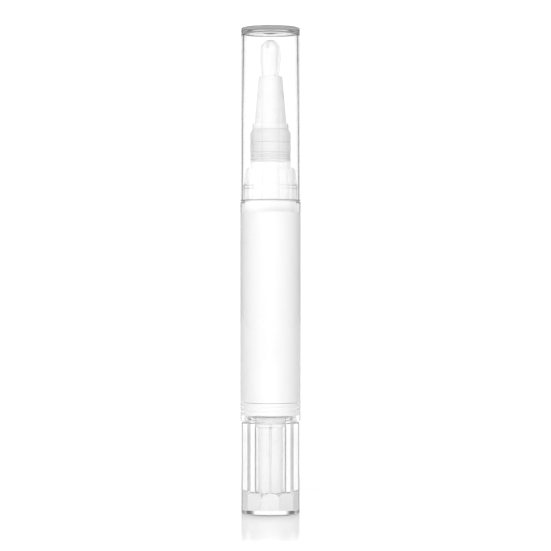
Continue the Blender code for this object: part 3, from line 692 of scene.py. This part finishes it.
def brush_bristles():
    """Sets the bristles on a sunflower spiral, so that they fill the bundle evenly."""
    rod, rod_faces = bristle_mesh()
    random = np.random.default_rng(scatter_seed)
    points = []
    faces = []
    for number in range(bristle_count):
        share_out = sqrt((number + 0.5) / bristle_count)
        angle = number * golden_turn
        root = np.array([cos(angle), sin(angle)]) * share_out * (tuft_root_radius - bristle_radius)
        tip_height = tuft_tip - tuft_dome * share_out ** dome_power - random.uniform(0, tip_scatter)
        foot = tuft_mouth - tuft_sunk
        start = len(points)
        for x, y, along in rod:
            height = foot + (tip_height - foot) * along
            share = max(0, (height - tuft_mouth) / (tuft_tip - tuft_mouth))
            middle = root * tuft_spread(share)
            points.append((middle[0] + x * bristle_radius, middle[1] + y * bristle_radius, height))
        faces += [[start + corner for corner in face] for face in rod_faces]
    mesh = bpy.data.meshes.new("bristles")
    mesh.from_pydata(points, [], faces)
    tuft = bpy.data.objects.new("bristles", mesh)
    bpy.context.scene.collection.objects.link(tuft)
    mesh.shade_smooth()
    mesh.normals_split_custom_set_from_vertices(bundle_directions(mesh))
    return tuft


tuft = brush_bristles()
bristle_nylon = white_plastic("bristle_nylon", bristle_colour, gloss=0.45)
dress(tuft, bristle_nylon, "barrel", "brush_tuft")

# The cap is a clear drafted tube with a thick flat top, finely matted on the outside. Just above its rim
# a grey band of painted shade is tinted in, where the cap meets the barrel's shoulder. The moulder's
# gate leaves a small round dimple in the middle of its ceiling.
cap_low, cap_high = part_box("cap")
cap_rim_radius = cap_high.x
cap_draft = 0.25 * mm
cap_wall = 0.69 * mm
cap_top_thickness = 1.5 * mm
cap_fillet = 0.8 * mm
cap_round = 0.25 * mm
cap_edge = 0.13 * mm
cap_top_matt = 0.35
cap_top_skin = 0.05 * mm
cap_grey = 33
cap_rim_shade_tone = 0.38
cap_rim_shade_foot = 0.2 * mm
cap_rim_shade_top = 0.42 * mm
gate_radius = 2.25 * mm
gate_floor_radius = 1.5 * mm
gate_depth = 0.45 * mm
gate_tone = 0.4
gate_haze = 0.7
cap_top_radius = cap_rim_radius - cap_draft


def matted(finish, roughness, low, high):
    """Makes a finish matt between two heights, where the mould is left rough."""
    rough_in = finish.node_tree.nodes["Principled BSDF"].inputs["Roughness"]
    blend = finish.node_tree.nodes.new("ShaderNodeMix")
    blend.inputs["B"].default_value = roughness
    finish.node_tree.links.new(rough_in.links[0].from_socket, blend.inputs["A"])
    finish.node_tree.links.new(zone(finish, low, high), blend.inputs["Factor"])
    finish.node_tree.links.new(blend.outputs["Result"], rough_in)


cap_ceiling = cap_high.z - cap_top_thickness
arc_shares = (0, 0.25, 0.5, 0.75, 1)
cap_outline = [(0, cap_high.z)]
for share in arc_shares:
    angle = (1 - share) * pi / 2
    cap_outline.append((
        cap_top_radius - cap_round * (1 - cos(angle)),
        cap_high.z - cap_round * (1 - sin(angle)),
    ))
cap_outline += [(cap_rim_radius, cap_low.z), (cap_rim_radius - cap_wall, cap_low.z)]
for share in arc_shares:
    angle = share * pi / 2
    cap_outline.append((
        cap_top_radius - cap_wall - cap_fillet * (1 - cos(angle)),
        cap_ceiling - cap_fillet * (1 - sin(angle)),
    ))
cap_outline += [
    (gate_radius, cap_ceiling),
    (gate_floor_radius, cap_ceiling + gate_depth),
    (0, cap_ceiling + gate_depth),
]
clear_cap = turn_outline("clear_cap", cap_outline, rounding=cap_edge)
cap_finish = clear_plastic("cap_clear", bulk=cap_grey)
matted(cap_finish, cap_top_matt, cap_high.z - cap_top_skin, cap_high.z + mm)
# Painted shade: a grey band just above the cap's rim.
paint_shade(cap_finish, cap_rim_shade_tone, cap_low.z + cap_rim_shade_foot, cap_low.z + cap_rim_shade_top)
dress(clear_cap, cap_finish, "cap", "cap")
clear_cap.data.materials.append(clear_plastic("cap_gate", tint=gate_tone, haze=gate_haze, bulk=cap_grey))
for face in clear_cap.data.polygons:
    if face.center.xy.length < gate_radius and face.center.z < cap_high.z - gate_depth:
        face.material_index = 1

# The pen stands on a plain white table with a soft gloss round its foot. Like a studio sweep, the
# table is lit up to white away from the pen, and less so where it is seen through clear parts.
table_width = 4
table_colour = (0.95, 0.95, 0.95)
gloss_least = 0.15
gloss_most = 0.5
gloss_rise = (15 * mm, 60 * mm)
gloss_end = (38 * mm, 64 * mm)
sweep_rise = (35 * mm, 150 * mm)
sweep_level = 0.5
through_rise = (250 * mm, 420 * mm)
through_level = 0.2
bpy.ops.mesh.primitive_plane_add(size=table_width, location=(0, 0, 0))
table = bpy.context.object
table.name = "table"
table_finish = white_plastic("table_white", table_colour, gloss=0.19, grain=20)
table_tree = table_finish.node_tree
table_place = table_tree.nodes.new("ShaderNodeTexCoord")
table_far = table_tree.nodes.new("ShaderNodeVectorMath")
table_far.operation = "LENGTH"
table_tree.links.new(table_place.outputs["Object"], table_far.inputs[0])


def by_distance(reach, least, most):
    """A level that goes softly from one value to another over a reach of distance from the pen."""
    fade = table_tree.nodes.new("ShaderNodeMapRange")
    fade.interpolation_type = "SMOOTHSTEP"
    fade.inputs["From Min"].default_value = reach[0]
    fade.inputs["From Max"].default_value = reach[1]
    fade.inputs["To Min"].default_value = least
    fade.inputs["To Max"].default_value = most
    table_tree.links.new(table_far.outputs["Value"], fade.inputs["Value"])
    return fade.outputs["Result"]


table_rays = table_tree.nodes.new("ShaderNodeLightPath")
gloss_in = by_distance(gloss_rise, gloss_least, gloss_most)
gloss_out = by_distance(gloss_end, 1, 0)
near_gloss = worked_out(table_tree, "MULTIPLY", gloss_in, gloss_out)
seen_through = worked_out(table_tree, "MINIMUM", table_rays.outputs["Transmission Depth"], 1)
through_gloss = worked_out(table_tree, "MULTIPLY", seen_through, gloss_most)
table_gloss = worked_out(table_tree, "MAXIMUM", near_gloss, through_gloss)
sweep_seen = worked_out(
    table_tree, "MULTIPLY", by_distance(sweep_rise, 0, sweep_level), table_rays.outputs["Is Camera Ray"]
)
sweep_through = worked_out(
    table_tree, "MULTIPLY", by_distance(through_rise, 0, through_level),
    table_rays.outputs["Is Transmission Ray"],
)
sweep_light = worked_out(table_tree, "MAXIMUM", sweep_seen, sweep_through)
table_shader = table_tree.nodes["Principled BSDF"]
table_shader.inputs["Emission Color"].default_value = (1, 1, 1, 1)
table_tree.links.new(table_gloss, table_shader.inputs["Specular IOR Level"])
table_tree.links.new(sweep_light, table_shader.inputs["Emission Strength"])
table.data.materials.append(table_finish)

# The studio is white, with a dimmer ceiling. What shines through the clear parts also meets soft
# grey flags to the left and right, and they draw the parts' thin dark edges.
white_level = 1.3
ceiling_tone = 0.35
ceiling_rise = (0.45, 0.75)
steep_rise = (0.085, 0.11)
one_block_walls = 2.5
flag_stops = (
    (0, 1), (0.19, 1), (0.21, 0.8), (0.325, 0.8), (0.34, 0.12), (0.425, 0.12), (0.44, 1),
    (0.5, 0.7), (0.77, 0.7), (0.78, 0.12), (0.92, 0.12), (0.94, 1), (1, 1),
)
table_stops = ((0, 0.25), (0.31, 0.25), (0.34, 1), (0.78, 1), (0.79, 0.05), (1, 0.05))
wall_stops = ((0, 1), (0.18, 1), (0.32, 0.38), (1, 0.38))
solid_stops = (
    (0, 1), (0.25, 1), (0.36, 0.16), (0.48, 0.1), (0.55, 0.4), (0.6, 0.4), (0.75, 0.2), (0.92, 0.14),
    (0.94, 1), (1, 1),
)
shine_stops = ((0, 1), (0.05, 1), (0.065, 0.35), (0.25, 0.35), (0.6, 0.6), (1, 0.6))
world = bpy.data.worlds.new("studio")
bpy.context.scene.world = world
world.use_nodes = True
sky_nodes = world.node_tree.nodes
sky_links = world.node_tree.links


def sky_sum(operation, first, second=None):
    """One sum on the studio's walls."""
    return worked_out(world.node_tree, operation, first, second)


def sky_tones(share, stops):
    """The tones of the studio's walls at a share of the way round. Half round goes from behind the
    pen to the camera, and quarter round from the line of sight out to either side."""
    ramp = sky_nodes.new("ShaderNodeValToRGB")
    elements = ramp.color_ramp.elements
    for number, (place, tone) in enumerate(stops):
        element = elements[number] if number < 2 else elements.new(place)
        element.position = place
        element.color = (tone, tone, tone, 1)
    sky_links.new(share, ramp.inputs["Fac"])
    return ramp.outputs["Color"]


direction = sky_nodes.new("ShaderNodeTexCoord")
axes = sky_nodes.new("ShaderNodeSeparateXYZ")
sky_links.new(direction.outputs["Generated"], axes.inputs["Vector"])
rays = sky_nodes.new("ShaderNodeLightPath")
bearing = sky_sum("ABSOLUTE", sky_sum("ARCTAN2", axes.outputs["X"], axes.outputs["Y"]))
half_round = sky_sum("DIVIDE", bearing, pi)
quarter_round = sky_sum("DIVIDE", sky_sum("PINGPONG", bearing, pi / 2), pi / 2)
walls_crossed = rays.outputs["Transmission Depth"]
seen_deep = sky_sum("MINIMUM", walls_crossed, 1)
clear = rays.outputs["Is Transmission Ray"]
one_block = sky_sum("LESS_THAN", walls_crossed, one_block_walls)
rise = sky_nodes.new("ShaderNodeMapRange")
rise.inputs["From Min"].default_value = steep_rise[0]
rise.inputs["From Max"].default_value = steep_rise[1]
sky_links.new(axes.outputs["Z"], rise.inputs["Value"])
steep = rise.outputs["Result"]
shine = rays.outputs["Is Glossy Ray"]
tone = sky_sum("MAXIMUM", sky_tones(half_round, wall_stops), rays.outputs["Is Camera Ray"])
for pattern, share, where in (
    (shine_stops, half_round, shine),
    (table_stops, quarter_round, sky_sum("MULTIPLY", shine, seen_deep)),
    (flag_stops, quarter_round, clear),
    (solid_stops, quarter_round, sky_sum("MULTIPLY", clear, sky_sum("MULTIPLY", one_block, steep))),
):
    kept = sky_sum("MULTIPLY", tone, sky_sum("SUBTRACT", 1, where))
    tone = sky_sum("ADD", kept, sky_sum("MULTIPLY", sky_tones(share, pattern), where))

ceiling = sky_nodes.new("ShaderNodeMapRange")
ceiling.interpolation_type = "SMOOTHSTEP"
ceiling.inputs["From Min"].default_value = ceiling_rise[0]
ceiling.inputs["From Max"].default_value = ceiling_rise[1]
ceiling.inputs["To Min"].default_value = white_level
ceiling.inputs["To Max"].default_value = white_level * ceiling_tone
sky_links.new(axes.outputs["Z"], ceiling.inputs["Value"])
sky = sky_nodes["Background"]
sky.inputs["Color"].default_value = (1, 1, 1, 1)
sky_links.new(sky_sum("MULTIPLY", tone, ceiling.outputs["Result"]), sky.inputs["Strength"])

# A large soft box stands in front and a soft light hangs above. Four side lights reach only the
# spigot and the brush, which the clear parts would otherwise leave too dark.
lamp_aim = 0.07
lamps = (
    ("front_box", "AREA", (-0.06, -0.9, 0.35), 0.5, 4.8, ()),
    ("top_soft", "SUN", (-0.02, -0.1, 1), 1.0, 1.4, ()),
    ("neck_left", "SUN", (-1, 0.1, 0.1), 1.0, 2.7, (spigot,)),
    ("neck_right", "SUN", (1, 0.1, 0.1), 1.0, 1.9, (spigot,)),
    ("brush_left", "SUN", (-1, 0.1, 0.1), 1.0, 1.0, (tuft, holder)),
    ("brush_right", "SUN", (1, 0.1, 0.1), 1.0, 1.35, (tuft,)),
)
for name, kind, place, size, power, only in lamps:
    lamp_data = bpy.data.lights.new(name, kind)
    lamp_data.energy = power
    if kind == "SUN":
        lamp_data.angle = size
    else:
        lamp_data.size = size
    lamp = bpy.data.objects.new(name, lamp_data)
    lamp.location = place
    aim = lamp.location.copy()
    aim.z -= lamp_aim
    lamp.rotation_euler = aim.to_track_quat("Z", "Y").to_euler()
    lamp.visible_camera = False
    lamp.visible_transmission = False
    lamp.visible_glossy = False
    if only:
        lit = bpy.data.collections.new(name)
        for piece in only:
            lit.objects.link(piece)
        lamp.light_linking.receiver_collection = lit
    bpy.context.scene.collection.objects.link(lamp)

# The camera stands level with the pen and looks straight at its front. It is as far away as the
# curves of the pen's edges show.
photo_size = 551
pixel = 0.2805 * mm
axis_pixel = 270.5
foot_pixel = 513.0
camera_distance = 580 * mm
camera_data = bpy.data.cameras.new("camera")
camera_data.sensor_width = 36
camera_data.lens = camera_data.sensor_width * camera_distance / (photo_size * pixel)
camera_data.clip_start = 0.01
camera = bpy.data.objects.new("camera", camera_data)
camera.location = (
    (photo_size / 2 - axis_pixel) * pixel, -camera_distance, (foot_pixel - photo_size / 2) * pixel
)
camera.rotation_euler = (pi / 2, 0, 0)
bpy.context.scene.collection.objects.link(camera)
bpy.context.scene.camera = camera
bpy.context.scene.view_settings.view_transform = "Standard"
